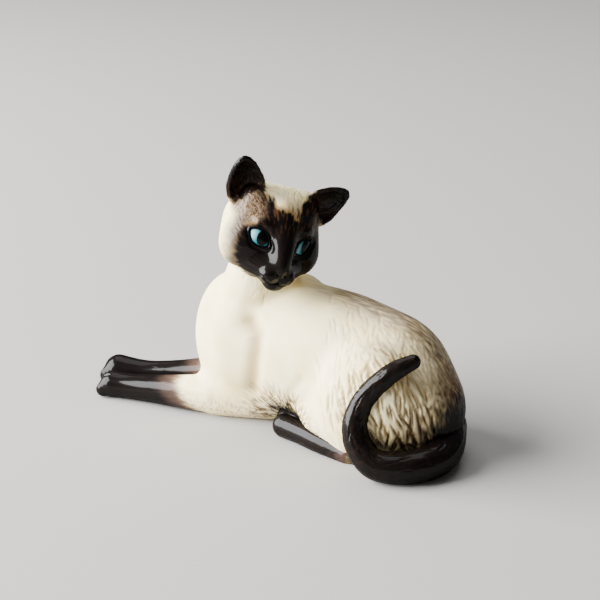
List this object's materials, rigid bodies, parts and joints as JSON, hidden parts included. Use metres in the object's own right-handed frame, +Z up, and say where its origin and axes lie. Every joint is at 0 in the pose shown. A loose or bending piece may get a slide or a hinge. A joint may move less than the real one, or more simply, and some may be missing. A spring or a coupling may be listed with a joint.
{
  "type": "cat figurine",
  "caption": "Slip-cast, glazed figurine of a lying short-haired cat with its head turned back and its tail curled up over the haunch.",
  "frame": {"origin": "middle of the figurine's own box at table height, on the flat base", "axes": "+X from the forepaws to the rump, +Y to the cat's right (away from the side it shows), +Z up"},
  "size_m": [0.1991, 0.0788, 0.1365],
  "materials": {
    "ivory_glaze": "gloss ivory glaze over sprayed shading",
    "mask_glaze": "gloss glaze over a sprayed seal-brown mask",
    "seal_glaze": "gloss near-black brown glaze"
  },
  "bodies": {
    "root": {"body": "ivory_glaze", "head": "mask_glaze", "left_ear": "seal_glaze", "right_ear": "seal_glaze", "left_foreleg": "seal_glaze", "right_foreleg": "seal_glaze", "left_hind_foot": "seal_glaze", "right_hind_foot": "seal_glaze", "tail": "seal_glaze"}
  },
  "joints": []
}
